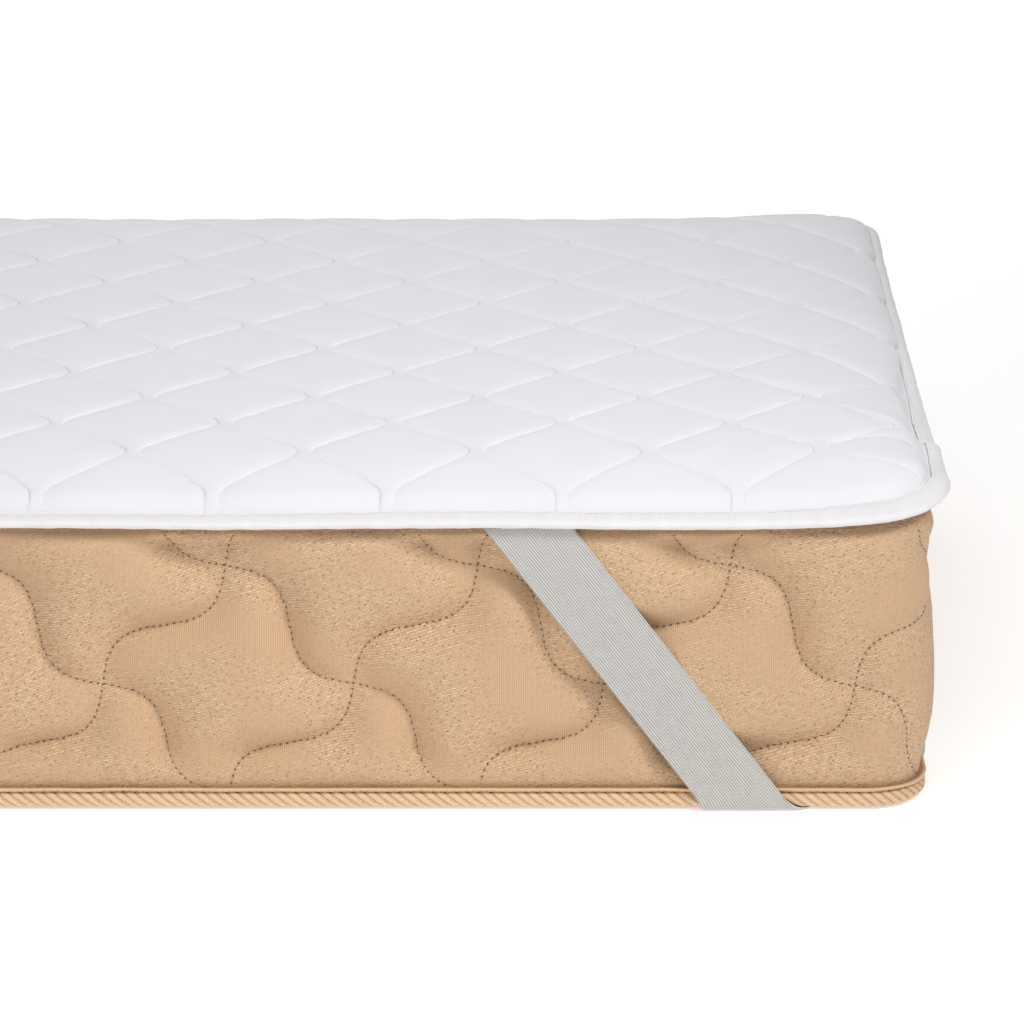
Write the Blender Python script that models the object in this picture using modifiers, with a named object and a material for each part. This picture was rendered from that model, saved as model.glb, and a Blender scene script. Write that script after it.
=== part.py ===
"""A quilted mattress topper, held by four corner straps on the plain mattress that it lies on.

Metres, +Z up. The origin is at the middle of the mattress's underside, +X runs along the long side
and +Y away from the front. The topper's corner at +X, -Y stands up a little, as a loose flap.

Rings and sheets are first laid out with square corners: there a point's inset is its distance in
from the mattress's nearest side. rounded() then turns each corner into an arc.
"""

import math

import bmesh
import bpy

CORNERS = {  # its name, and the signs of its X and Y
    "front_right": (1, -1),
    "front_left": (-1, -1),
    "back_right": (1, 1),
    "back_left": (-1, 1),
}

# Mattress
LENGTH, WIDTH = 1.90, 0.80
HALF_LENGTH, HALF_WIDTH = LENGTH / 2, WIDTH / 2
CORNER = 0.045  # plan radius of the upright corners
CORNER_STEPS = 6
CROWN_TOP = 0.2290  # flat middle of the upper face
CROWN_FALL = 0.0225  # from there to the edge of that face
FALL_REACH = 0.136  # width of the falling border
GAP = 0.0003  # between pieces that lie on each other

# Corded tape round the foot of the mattress, in a rebate
TAPE_INSET, TAPE_MIDDLE = 0.0089, 0.0081
TAPE_HALF_WIDTH, TAPE_HALF_HEIGHT = 0.0063, 0.0060
TAPE_SIDES = 10
REBATE_WALL = 0.0157
REBATE_TOP = 0.0145

# Quilted pad
RAW_EDGE = 0.0066  # out past the mattress's side
SLOT_END = 0.0012  # inset at which the pad leaves its binding
EDGE_THICKNESS = 0.0052  # where it leaves the binding
SEAM_THICKNESS = 0.0070  # along the quilting lines
PUFF = 0.0070  # added between the quilting lines
PAD_FALL = 0.0185
EDGE_MIDDLE = 0.2132  # mid-height of the bound edge
RAW_HALF_THICKNESS = 0.0012
PUFF_START = 0.020  # width over which the filling swells, in from the binding
FULL_PUFF_WIDTH = 0.055  # a channel at least this wide swells fully
PUFF_POWER = 0.7  # below that, it swells by its share of the width to this power
SHOULDER = 0.20  # share of a channel's width over which it swells
BORDER_INSETS = (0.030, 0.068, FALL_REACH)

# Quilting lines run from front to back and sway, each against the next, to meet at necks
LINE_STEP = 0.060
LINE_ORIGIN = 0.841
FIRST_LINE, LAST_LINE = -30, 2
SWAY = 0.0255
FIRST_NECK = -0.3845
NECK_STEP = 0.0653
NECK_LENGTH = 0.015
SLANT_SHARE = 0.80  # of a half wave, straight between its rounded ends
LINE_CLEARANCE = 0.006  # a line stays this far in from the binding
ROW_CLEARANCE = 0.008

# Binding: a tape folded round the pad's edge. Its upper half, from the stitching outwards
BINDING_TABLE = (
    # inset, height over the middle of the edge
    (0.0008, 0.0042),
    (-0.0044, 0.0042),
    (-0.0078, 0.0029),
    (-0.0090, 0.0),
)
LINING_TABLE = (  # the same on its inner side
    (0.0008, 0.0030),
    (-0.0042, 0.0030),
    (-0.0067, 0.0021),
    (-0.0078, 0.0),
)
COLUMNS_PER_STATION, ROWS_PER_STATION = 6, 3  # of the pad's points, along its straight sides
ARC_ZONE = 1.6 * CORNER  # nearer than this to two sides, each point of the pad has its station
ZONE_SPREAD = 1.5  # of the inset, where that is more
RIPPLE = 0.0005  # rise and fall of the bound edge
RIPPLE_ALONG, RIPPLE_ACROSS = 0.31, 0.23
RIPPLE_REACH = 0.05

# Loose corner at +X, -Y
FLAP_RISE = 0.011
FLAP_FRONT = -0.412  # the rise starts here and is whole after FLAP_RUN
FLAP_RUN = 0.065
FLAP_REACH = 0.060  # in from the right edge
CREST_DEPTH = -0.252  # where the fold behind the flap starts, at the right edge
CREST_WIDTH = 0.011

# Elastic straps, from a long side round the foot and under the corner to a short side
STRAP_WIDTH, STRAP_THICKNESS = 0.050, 0.0015
STRAP_TOP = 0.2087
STRAP_TOP_DISTANCE = 0.282  # from the corner to the strap's middle, at its top
STRAP_FOOT_DISTANCE = 0.134
STRAP_UNDER_DISTANCE = 0.124
FOLD_RADIUS = 0.0080
FOLD_STEPS = 4
GROOVE_DEPTH = 0.0024
GROOVE_MARGIN = 0.0020
GROOVE_LENGTH = 0.34


def clear_scene():
    for thing in list(bpy.data.objects):
        bpy.data.objects.remove(thing, do_unlink=True)


def new_collection(name):
    collection = bpy.data.collections.new(name)
    bpy.context.scene.collection.children.link(collection)
    return collection


def new_material(name, colour, roughness):
    material = bpy.data.materials.new(name)
    material.use_nodes = True
    shader = material.node_tree.nodes["Principled BSDF"]
    shader.inputs["Base Color"].default_value = (*colour, 1.0)
    shader.inputs["Roughness"].default_value = roughness
    shader.inputs["Metallic"].default_value = 0.0
    return material


def add_piece(name, shape, material, collection, smooth=True):
    """Makes an object of a bmesh, with its faces turned outwards."""
    bmesh.ops.recalc_face_normals(shape, faces=shape.faces)
    mesh = bpy.data.meshes.new(name)
    shape.to_mesh(mesh)
    shape.free()
    if smooth:
        mesh.shade_smooth()
    mesh.materials.append(material)
    piece = bpy.data.objects.new(name, mesh)
    collection.objects.link(piece)
    return piece


def inset_of(x, y):
    return min(HALF_LENGTH - abs(x), HALF_WIDTH - abs(y))


def rounded(x, y):
    """Turns the square corners into arcs round the mattress's corner centres, ring by ring."""
    centre_x, centre_y = HALF_LENGTH - CORNER, HALF_WIDTH - CORNER
    across, along = abs(x) - centre_x, abs(y) - centre_y
    if across <= 0 or along <= 0:
        return x, y
    radius = max(across, along)
    if across >= along:
        angle = math.pi / 4 * along / across
    else:
        angle = math.pi / 2 - math.pi / 4 * across / along
    return (
        math.copysign(centre_x + radius * math.cos(angle), x),
        math.copysign(centre_y + radius * math.sin(angle), y),
    )


def slid(value, half, start, inset):
    """One coordinate of a point moved in: it stays, unless it is near a corner or on its side."""
    kept = half - max(ARC_ZONE, ZONE_SPREAD * inset)
    if abs(value) <= kept:
        return value
    share = (abs(value) - kept) / (half - start - kept)
    return math.copysign(kept + share * (half - inset - kept), value)


def moved_in(x, y, start, inset):
    """Takes a point of the ring at one inset to the ring at another."""
    return slid(x, HALF_LENGTH, start, inset), slid(y, HALF_WIDTH, start, inset)


def fall(inset):
    """1 at the mattress's side and 0 past the falling border."""
    return (1 - min(max(inset, 0), FALL_REACH) / FALL_REACH) ** 3


def eased(value):
    value = min(max(value, 0), 1)
    return value * value * (3 - 2 * value)


def rise(x, y):
    """How far the topper stands up at a point: the loose corner, and the ripple along the edge."""
    from_edge = max(HALF_LENGTH - SLOT_END - x, 0)
    behind_crest = (y - CREST_DEPTH - from_edge) / math.sqrt(2)
    flap = eased((y - FLAP_FRONT) / FLAP_RUN)
    flap *= 1 - eased(0.5 + behind_crest / (2 * CREST_WIDTH))
    flap *= math.exp(-((from_edge / FLAP_REACH) ** 2))
    near_edge = max(0, 1 - max(inset_of(x, y), 0) / RIPPLE_REACH)
    ripple = 1 + math.sin(math.tau * (x / RIPPLE_ALONG + y / RIPPLE_ACROSS))
    return FLAP_RISE * flap + RIPPLE * ripple * near_edge


def topper_point(x, y, height):
    x, y = rounded(x, y)
    return x, y, height + rise(x, y)


def join_rings(shape, lower, upper):
    count = len(lower)
    for i in range(count):
        j = (i + 1) % count
        shape.faces.new((lower[i], lower[j], upper[j], upper[i]))


# ---- mattress


def foot_outline():
    """Points round the mattress with square corners, close together where the arcs will be."""
    turns = [i / (CORNER_STEPS / 2) for i in range(CORNER_STEPS // 2 + 1)]
    side = [(HALF_LENGTH, HALF_WIDTH - CORNER + CORNER * t) for t in turns]
    end = [(HALF_LENGTH - CORNER + CORNER * t, HALF_WIDTH) for t in reversed(turns[:-1])]
    quarter = side + end
    return (
        quarter
        + [(-x, y) for x, y in reversed(quarter)]
        + [(-x, -y) for x, y in quarter]
        + [(x, -y) for x, y in reversed(quarter)]
    )


def crown_height(inset):
    return CROWN_TOP - CROWN_FALL * fall(inset)


def make_mattress(material, collection, guide, cutters):
    side_rings = (
        # inset, height
        (REBATE_WALL, 0.0),
        (REBATE_WALL, REBATE_TOP),
        (0.0045, REBATE_TOP),
        (0.0020, 0.0220),
        (0.0005, 0.0330),
        (0.0, 0.0460),
        (0.0, 0.1970),
        (0.0015, 0.2025),
        (0.0045, 0.2060),
        (0.0100, crown_height(0.0100)),
    )
    crown_rings = tuple((inset, crown_height(inset)) for inset in BORDER_INSETS)
    shape = bmesh.new()
    rings = []
    for inset, height in side_rings + crown_rings:
        ring = []
        for x, y in foot_outline():
            ring.append(shape.verts.new((*rounded(*moved_in(x, y, 0, inset)), height)))
        rings.append(ring)
    for lower, upper in zip(rings, rings[1:]):
        join_rings(shape, lower, upper)
    shape.faces.new(rings[0])
    shape.faces.new(rings[-1])
    mattress = add_piece("mattress", shape, material, collection, smooth=False)
    for corner, signs in CORNERS.items():
        cutter = make_groove_cutter(f"groove_{corner}", signs, guide, cutters)
        groove = mattress.modifiers.new(cutter.name, "BOOLEAN")
        groove.operation = "DIFFERENCE"
        groove.solver = "EXACT"
        groove.object = cutter
    return mattress


def make_groove_cutter(name, signs, material, collection):
    """A flat bar across a corner of the underside, where a strap passes."""
    middle = (STRAP_UNDER_DISTANCE + FOLD_RADIUS - GAP) / 2
    shape = bmesh.new()
    bmesh.ops.create_cube(shape, size=1)
    bmesh.ops.scale(
        shape,
        vec=(GROOVE_LENGTH, STRAP_WIDTH + 2 * GROOVE_MARGIN, 2 * GROOVE_DEPTH),
        verts=shape.verts,
    )
    cutter = add_piece(name, shape, material, collection, smooth=False)
    sign_x, sign_y = signs
    cutter.location = (sign_x * (HALF_LENGTH - middle), sign_y * (HALF_WIDTH - middle), 0)
    cutter.rotation_euler.z = -sign_x * sign_y * math.pi / 4
    cutter.hide_render = True
    cutter.display_type = "WIRE"
    return cutter


def make_tape(material, collection):
    """The corded tape: an oval section carried round the foot."""
    shape = bmesh.new()
    rings = []
    for step in range(TAPE_SIDES):
        angle = math.tau * step / TAPE_SIDES
        inset = TAPE_INSET + TAPE_HALF_WIDTH * math.cos(angle)
        height = TAPE_MIDDLE + TAPE_HALF_HEIGHT * math.sin(angle)
        ring = []
        for x, y in foot_outline():
            ring.append(shape.verts.new((*rounded(*moved_in(x, y, 0, inset)), height)))
        rings.append(ring)
    for lower, upper in zip(rings, rings[1:] + rings[:1]):
        join_rings(shape, lower, upper)
    return add_piece("mattress_tape", shape, material, collection)


# ---- topper


def sway(y):
    """From 1 at a neck to -1 at the next: straight slants with rounded ends."""
    steps = max(y - FIRST_NECK, 0) / NECK_STEP % 2
    slant = (1 - 2 * min(steps, 2 - steps)) / SLANT_SHARE
    reach = abs(slant)
    limit = 1 / SLANT_SHARE
    if reach > 2 - limit:
        reach = 1 - (limit - reach) ** 2 / (4 * (limit - 1))
    return math.copysign(reach, slant)


def line_x(number, y):
    x = LINE_ORIGIN + LINE_STEP * number - (-1) ** number * SWAY * sway(y)
    limit = HALF_LENGTH - SLOT_END - LINE_CLEARANCE
    return min(max(x, -limit), limit)


def pad_rows():
    """Depths of the rows of points: the ends of each neck and the middle of each slant."""
    rows = []
    y = FIRST_NECK
    while y < HALF_WIDTH + NECK_STEP:
        rows += [y - NECK_LENGTH / 2, y + NECK_LENGTH / 2, y + NECK_STEP / 2]
        y += NECK_STEP
    limit = HALF_WIDTH - SLOT_END - ROW_CLEARANCE
    rows = [y for y in rows if abs(y) < limit]
    slot, edge = HALF_WIDTH - SLOT_END, HALF_WIDTH + RAW_EDGE
    return [-edge, -slot, *rows, slot, edge]


def pad_columns(y):
    """(x, puff) across the pad at one depth: each quilting line, and two points in each channel."""
    lines = [line_x(number, y) for number in range(FIRST_LINE, LAST_LINE + 1)]
    columns = [(-HALF_LENGTH - RAW_EDGE, 0), (SLOT_END - HALF_LENGTH, 0)]
    for left, right in zip(lines, lines[1:]):
        width = right - left
        puff = min(1, width / FULL_PUFF_WIDTH) ** PUFF_POWER
        columns += [
            (left, 0),
            (left + SHOULDER * width, puff),
            (right - SHOULDER * width, puff),
        ]
    columns += [
        (lines[-1], 0),
        (HALF_LENGTH - SLOT_END, 0),
        (HALF_LENGTH + RAW_EDGE, 0),
    ]
    return columns


def pad_underside(inset):
    return CROWN_TOP + GAP - PAD_FALL * fall(inset)


def pad_upper(x, y, puff):
    inset = inset_of(x, y)
    if inset < 0:
        return EDGE_MIDDLE + RAW_HALF_THICKNESS
    if inset < SLOT_END + GAP:
        return EDGE_MIDDLE + EDGE_THICKNESS / 2
    swell = eased((inset - SLOT_END) / PUFF_START)
    return pad_underside(inset) + SEAM_THICKNESS + PUFF * puff * swell


def rim_stations(rows):
    """(x, y, kept) round the pad's square-cornered rim, starting at its front left corner."""
    edge_x, edge_y = HALF_LENGTH + RAW_EDGE, HALF_WIDTH + RAW_EDGE

    def marked(points, every):
        return [(x, y, i % every == 0 or in_corner(x, y)) for i, (x, y) in enumerate(points)]

    front = [(x, -edge_y) for x, _ in pad_columns(rows[0])][:-1]
    right = [(edge_x, y) for y in rows[:-1]]
    back = [(x, edge_y) for x, _ in pad_columns(rows[-1])][:0:-1]
    left = [(-edge_x, y) for y in rows[:0:-1]]
    return (
        marked(front, COLUMNS_PER_STATION)
        + marked(right, ROWS_PER_STATION)
        + marked(back, COLUMNS_PER_STATION)
        + marked(left, ROWS_PER_STATION)
    )


def make_pad(rows, material, collection):
    shape = bmesh.new()
    grid = []
    for y in rows:
        row = []
        for x, puff in pad_columns(y):
            row.append(shape.verts.new(topper_point(x, y, pad_upper(x, y, puff))))
        grid.append(row)
    for front, back in zip(grid, grid[1:]):
        for i in range(len(front) - 1):
            shape.faces.new((front[i], front[i + 1], back[i + 1], back[i]))
    rim = (
        grid[0][:-1]
        + [row[-1] for row in grid[:-1]]
        + grid[-1][:0:-1]
        + [row[0] for row in grid[:0:-1]]
    )
    stations = rim_stations(rows)
    raw, slot = [], []
    for x, y, _ in stations:
        raw.append(shape.verts.new(topper_point(x, y, EDGE_MIDDLE - RAW_HALF_THICKNESS)))
        x, y = moved_in(x, y, -RAW_EDGE, SLOT_END)
        slot.append(shape.verts.new(topper_point(x, y, EDGE_MIDDLE - EDGE_THICKNESS / 2)))
    join_rings(shape, raw, rim)
    join_rings(shape, slot, raw)
    add_underside(shape, stations, slot)
    return add_piece("topper_pad", shape, material, collection)


def add_underside(shape, stations, slot):
    """Carries the underside in from its slot on fewer points, to the flat middle."""
    kept = [i for i, (_, _, keep) in enumerate(stations) if keep]
    outer = [slot[i] for i in kept]
    for inset in BORDER_INSETS:
        ring = []
        for i in kept:
            x, y = moved_in(*stations[i][:2], -RAW_EDGE, inset)
            ring.append(shape.verts.new(topper_point(x, y, pad_underside(inset))))
        if inset == BORDER_INSETS[0]:
            for a, b in zip(range(len(kept)), [*range(1, len(kept)), 0]):
                end = kept[b] if b else len(slot)
                run = [slot[i % len(slot)] for i in range(kept[a], end + 1)]
                shape.faces.new([*run, ring[b], ring[a]])
        else:
            join_rings(shape, ring, outer)
        outer = ring
    shape.faces.new(outer)


def in_corner(x, y):
    """Whether a station is on a corner's arc or just past its ends."""
    return abs(x) > HALF_LENGTH - ARC_ZONE and abs(y) > HALF_WIDTH - ARC_ZONE


def on_flap(x, y):
    return x > HALF_LENGTH - 2 * FLAP_REACH and y < CREST_DEPTH + FLAP_RUN


def make_binding(rows, material, collection):
    """A folded tape: its open section is carried round the pad's edge."""
    lower = [(inset, -height) for inset, height in reversed(BINDING_TABLE[:-1])]
    lining = [(inset, -height) for inset, height in LINING_TABLE[:-1]]
    section = [*BINDING_TABLE, *lower, *lining, *reversed(LINING_TABLE)]
    shape = bmesh.new()
    rings = []
    for inset, height in section:
        ring = []
        for x, y, keep in rim_stations(rows):
            if keep or on_flap(x, y):
                x, y = moved_in(x, y, -RAW_EDGE, inset)
                ring.append(shape.verts.new(topper_point(x, y, EDGE_MIDDLE + height)))
        rings.append(ring)
    for first, second in zip(rings, rings[1:] + rings[:1]):
        join_rings(shape, first, second)
    return add_piece("topper_binding", shape, material, collection)


# ---- straps


def strap_stations():
    """(inset, height, distance from the corner) down a side, round the foot and to the underside."""
    stations = []
    fold_height = STRAP_THICKNESS + GAP + FOLD_RADIUS
    for share in (0, 0.5, 1):
        height = STRAP_TOP + (fold_height - STRAP_TOP) * share
        distance = STRAP_TOP_DISTANCE + (STRAP_FOOT_DISTANCE - STRAP_TOP_DISTANCE) * share
        stations.append((-GAP, height, distance))
    for step in range(1, FOLD_STEPS + 1):
        angle = math.pi / 2 * step / FOLD_STEPS
        distance = STRAP_FOOT_DISTANCE
        distance += (STRAP_UNDER_DISTANCE - STRAP_FOOT_DISTANCE) * step / FOLD_STEPS
        stations.append(
            (
                FOLD_RADIUS * (1 - math.cos(angle)) - GAP,
                fold_height - FOLD_RADIUS * math.sin(angle),
                distance,
            )
        )
    return stations


def make_strap(name, signs, material, collection):
    """A ribbon laid out by its two edges, then thickened outwards."""
    sign_x, sign_y = signs
    slope = (STRAP_TOP_DISTANCE - STRAP_FOOT_DISTANCE) / STRAP_TOP
    half_on_side = STRAP_WIDTH / 2 * math.hypot(1, slope)
    half_under = STRAP_WIDTH / 2 * math.sqrt(2)
    stations = strap_stations()
    side_count = len(stations) - FOLD_STEPS
    shape = bmesh.new()
    edges = []
    for outward in (1, -1):
        edge = []
        for i, (inset, height, distance) in enumerate(stations):
            share = max(0, i - side_count + 1) / FOLD_STEPS
            half = half_on_side + (half_under - half_on_side) * share
            edge.append((distance + outward * half, inset, height))
        edge += [(inset, distance, height) for distance, inset, height in reversed(edge)]
        edges.append(
            [
                shape.verts.new((sign_x * (HALF_LENGTH - a), sign_y * (HALF_WIDTH - b), height))
                for a, b, height in edge
            ]
        )
    for i in range(len(edges[0]) - 1):
        shape.faces.new((edges[0][i], edges[0][i + 1], edges[1][i + 1], edges[1][i]))
    strap = add_piece(name, shape, material, collection, smooth=False)
    under = strap.data.polygons[len(strap.data.polygons) // 2]
    thicken = strap.modifiers.new("thickness", "SOLIDIFY")
    thicken.thickness = STRAP_THICKNESS
    thicken.offset = 1 if under.normal.z < 0 else -1
    thicken.use_even_offset = True
    return strap


clear_scene()
parts = new_collection("mattress_topper")
cutters = new_collection("cutters")

quilted_cotton = new_material("quilted_cotton", (0.86, 0.86, 0.89), 0.85)
binding_tape = new_material("binding_tape", (0.92, 0.92, 0.93), 0.75)
ribbed_elastic = new_material("ribbed_elastic", (0.56, 0.56, 0.54), 0.70)
tan_ticking = new_material("tan_ticking", (0.60, 0.38, 0.20), 0.80)
corded_tape = new_material("corded_tape", (0.64, 0.43, 0.23), 0.75)
guide = new_material("guide", (0.5, 0.5, 0.5), 1.0)

make_mattress(tan_ticking, parts, guide, cutters)
make_tape(corded_tape, parts)
row_depths = pad_rows()
make_pad(row_depths, quilted_cotton, parts)
make_binding(row_depths, binding_tape, parts)
for corner, signs in CORNERS.items():
    make_strap(f"strap_{corner}", signs, ribbed_elastic, parts)
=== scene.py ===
"""The looks of a quilted mattress topper, strapped at its corners on the mattress that it covers.

Metres, +Z up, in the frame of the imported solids: +X runs along the long side, +Y away from the front.
Places round the edge are given by the distance round the mattress's side, from the left end of its
front towards +X, and by the inset from that side. Cloth is laid as a grid of points; each point keeps
its place in the flat cloth as the attribute "cloth", in metres, which the weaves are drawn by.
"""

import math

import bmesh
import bpy
import numpy as np
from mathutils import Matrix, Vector


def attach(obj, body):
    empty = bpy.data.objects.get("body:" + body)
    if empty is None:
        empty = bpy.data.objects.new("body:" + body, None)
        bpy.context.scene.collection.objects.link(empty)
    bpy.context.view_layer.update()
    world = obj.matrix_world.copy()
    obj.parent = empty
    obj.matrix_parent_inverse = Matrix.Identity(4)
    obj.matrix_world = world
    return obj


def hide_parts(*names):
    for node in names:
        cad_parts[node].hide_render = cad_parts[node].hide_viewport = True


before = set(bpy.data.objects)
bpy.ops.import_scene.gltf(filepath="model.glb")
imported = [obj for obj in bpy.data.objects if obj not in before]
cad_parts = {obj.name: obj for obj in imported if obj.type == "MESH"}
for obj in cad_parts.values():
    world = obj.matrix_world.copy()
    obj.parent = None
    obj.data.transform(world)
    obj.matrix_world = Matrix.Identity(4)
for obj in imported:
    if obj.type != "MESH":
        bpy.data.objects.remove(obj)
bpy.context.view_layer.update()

# ---- sizes shared with the solids

LENGTH, WIDTH, CORNER = 1.90, 0.80, 0.045
HALF_LENGTH, HALF_WIDTH = LENGTH / 2, WIDTH / 2
CENTRE_X, CENTRE_Y = HALF_LENGTH - CORNER, HALF_WIDTH - CORNER
CROWN_TOP, CROWN_FALL, FALL_REACH = 0.2290, 0.0225, 0.136
GAP = 0.0003

RAW_EDGE, SLOT_END = 0.0066, 0.0012
EDGE_THICKNESS, PAD_FALL = 0.0052, 0.0185
EDGE_MIDDLE, RAW_HALF_THICKNESS = 0.2132, 0.0012
FULL_PUFF_WIDTH, PUFF_POWER = 0.055, 0.45
BORDER_INSETS = (0.030, 0.068, FALL_REACH)

LINE_STEP, LINE_ORIGIN = 0.060, 0.841
FIRST_LINE, LAST_LINE = -30, 2
SWAY, FIRST_NECK, NECK_STEP, SLANT_SHARE = 0.0255, -0.3845, 0.0653, 0.80
LINE_LIMIT = HALF_LENGTH - SLOT_END - 0.006

RIPPLE, RIPPLE_ALONG, RIPPLE_ACROSS, RIPPLE_REACH = 0.0005, 0.31, 0.23, 0.05
FLAP_RISE, FLAP_FRONT, FLAP_RUN, FLAP_REACH = 0.011, -0.412, 0.065, 0.060
CREST_DEPTH, CREST_WIDTH = -0.252, 0.011

TAPE_INSET, TAPE_MIDDLE, REBATE_WALL, REBATE_TOP = 0.0089, 0.0081, 0.0157, 0.0145

STRAP_WIDTH, STRAP_THICKNESS, STRAP_TOP = 0.050, 0.0015, 0.2087
STRAP_TOP_DISTANCE, STRAP_FOOT_DISTANCE, STRAP_UNDER_DISTANCE = 0.282, 0.134, 0.124
FOLD_RADIUS = 0.0080
GROOVE_DEPTH = 0.0024
CORNERS = {
    "front_right": (1, -1),
    "front_left": (-1, -1),
    "back_right": (1, 1),
    "back_left": (-1, 1),
}

# ---- sizes of the finish

ROW_STEP = 0.0036  # of the quilt's points, from front to back
CHANNEL_SHARES = (0, 0.02, 0.05, 0.10, 0.18, 0.30, 0.50, 0.70, 0.82, 0.90, 0.95, 0.98)
CHANNEL_CROWN, CHANNEL_EDGE = 2.4, 14  # powers that shape a channel's broad crown and its steep edges
SEAM_THICKNESS, PUFF = 0.0101, 0.0036  # of the quilt at its needle lines, and added between them
FILLING_SHARE, FILLING_SIZE = 0.10, 0.17  # how unevenly the filling lies, and over which distance
SHOULDER_REACH = 0.016  # over which the quilt rises from its binding
PUCKER_HEIGHT, PUCKER_LENGTH, PUCKER_REACH = 0.0004, 0.011, 0.009  # beside the needle lines
PUCKER_SHIFT = 0.37  # from line to line, so that no two lines pucker alike
GATHER_HEIGHT, GATHER_LENGTH, GATHER_REACH = 0.0005, 0.010, 0.014  # beside the binding
LOOSE_GATHER, LOOSE_GATHER_REACH = 1.5, 0.07  # how much more it gathers near the loose corner
SKEW = 0.2  # of puckers and gathers, away from their seam
RUN_OUT, RUN_OUT_START, RUN_OUT_REACH = 0.0165, -0.335, 0.045  # of the needle lines at the loose corner

FOLDS = (  # soft folds that run into the loose corner: depth, half width, (x, y) along it
    (0.0026, 0.0048, ((0.847, -0.158), (0.889, -0.197), (0.925, -0.264))),
    (0.0022, 0.0042, ((0.878, -0.305), (0.898, -0.296), (0.924, -0.291), (0.938, -0.303))),
    (0.0027, 0.0042, ((0.905, -0.213), (0.928, -0.222), (0.941, -0.232), (0.947, -0.250))),
    (0.0016, 0.0040, ((0.935, -0.180), (0.940, -0.222))),
)
BACK_RISE, BACK_REACH = 0.0095, 0.110  # how far the edge stands up at the far right corner
LOOSE_LIFT, LOOSE_REACH = 0.0063, 0.053  # the loose corner's own lift, on top of its flap
OVERHANG = 0.0078  # of the quilt over its binding, at the right behind the flap
OVERHANG_EDGE, OVERHANG_START, OVERHANG_REACH = 0.004, 0.012, 0.090  # it begins, ebbs and ends, inwards
OVERHANG_FRONT, OVERHANG_RUN, OVERHANG_BACK_RUN = -0.13, 0.16, 0.03  # it begins and ends, along the side

SIDE_STEP = 0.0037
SIDE_DEPTH, SIDE_BULGE = 0.0185, 0.0030  # of the quilting on the mattress's side, and how far it swells
SIDE_PITCH, SIDE_DROP = 0.0869, 0.0865  # half a wave along the side, and down it
SIDE_START = 1.364  # distance round the edge of one crossing of the lines
SIDE_CROSSING = 0.1770  # its height
SIDE_CURVE = 0.72  # 1 would turn the lines level and upright at each crossing
SIDE_ROUNDNESS = 3  # power that shapes the side between its needle lines
SIDE_LOW, SIDE_HIGH = 0.0160, 0.2050
SIDE_LOW_FADE, SIDE_HIGH_FADE = 0.032, 0.012  # over which the quilting begins and ends
SIDE_UNEVEN, SIDE_UNEVEN_SIZE = 0.0010, 0.07  # how unevenly the side lies, and over which distance
FOOT_TUCK, FOOT_TUCK_HEIGHT, FOOT_TUCK_REACH = 0.008, 0.045, 0.022
PRESSED_REACH = 0.012  # beside a strap, over which the side swells again
CORNER_FIRMNESS, CORNER_REACH = 0.78, 0.060  # how much shallower the quilting is at the corners
FOOT_INSET, TOP_FACE_INSET = 0.0045, 0.0100  # of the cover under its foot, and where its top face starts
GROOVE_MARGIN, GROOVE_SHOULDER = 0.001, 0.008  # beside a strap, on the underside
GROOVED_REACH, GROOVED_STEP = 0.30, 0.0075  # from the corners, and of the points there

CORD_RADIUS, CORD_GROOVE, CORD_PITCH = 0.0061, 0.0012, 0.0080
CORD_LEAN = 0.94  # strands crossed from the cord's middle to its top
CORD_ROUNDNESS = 2.4  # power that shapes a strand
CORD_WEAR, CORD_WEAR_SIZE = 0.25, 0.09  # how unevenly its grooves are worn
CORD_POINTS, CORD_SIDES = 7, 18  # along a strand's pitch, and round the cord

RIBS, RIB_POINTS = 29, 5
RIB_HEIGHT, RIB_ROUNDNESS = 0.00028, 0.6
CALM_SHARE, CALM_START, CALM_RUN, CALM_EDGE = 0.35, -0.62, 0.25, -0.86  # flatter ribs near one edge
THIN_SHARE, THIN_WIDTH = 0.4, 0.03  # how much thinner the strap is at its two edges

STITCH_LIFT = 0.0002  # over the cloth
QUILTING_STITCH = (0.0046, (0.0034, 0.0006, 0.0005))  # pitch, then length, width and height
BINDING_STITCH = (0.0034, (0.0028, 0.0006, 0.0006))
MATTRESS_STITCH = (0.0049, (0.0021, 0.0010, 0.0008))
TAPE_STITCH = (0.0046, (0.0032, 0.0006, 0.0006))


# ---- small helpers


def eased(value):
    value = np.clip(value, 0, 1)
    return value * value * (3 - 2 * value)


def uneven(u, v, size, seed):
    """Smooth unevenness, mostly from -1 to 1, whose swells are about this size."""
    chance = np.random.default_rng(seed)
    total = 0
    for _ in range(6):
        turn, shift = chance.uniform(0, math.tau, 2)
        length = size * chance.uniform(0.7, 1.5)
        total = total + np.sin(math.tau * (u * math.cos(turn) + v * math.sin(turn)) / length + shift)
    return total / 3


def points_of(*coordinates):
    return np.stack(np.broadcast_arrays(*coordinates), axis=-1).astype(float)


def grid_faces(rows, columns, start=0):
    """Four-cornered faces of a grid of points."""
    index = start + np.arange(rows * columns).reshape(rows, columns)
    corners = (index[:-1, :-1], index[:-1, 1:], index[1:, 1:], index[1:, :-1])
    return np.stack(corners, axis=-1).reshape(-1, 4)


def looped(grid, axis):
    """The grid with its first row or column again at its end, which closes it."""
    return np.concatenate([grid, np.take(grid, [0], axis=axis)], axis=axis)


def tube(rings, cloth):
    """A patch of rings that close round the mattress, and from the last ring to the first."""
    return tuple(looped(looped(part, axis=1), axis=0) for part in (rings, cloth))


def keep_places(mesh, name, places):
    """Gives each point of a mesh a place that materials can read."""
    kept = mesh.attributes.new(name, "FLOAT_VECTOR", "POINT")
    kept.data.foreach_set("vector", places.astype(np.float32).ravel())


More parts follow.
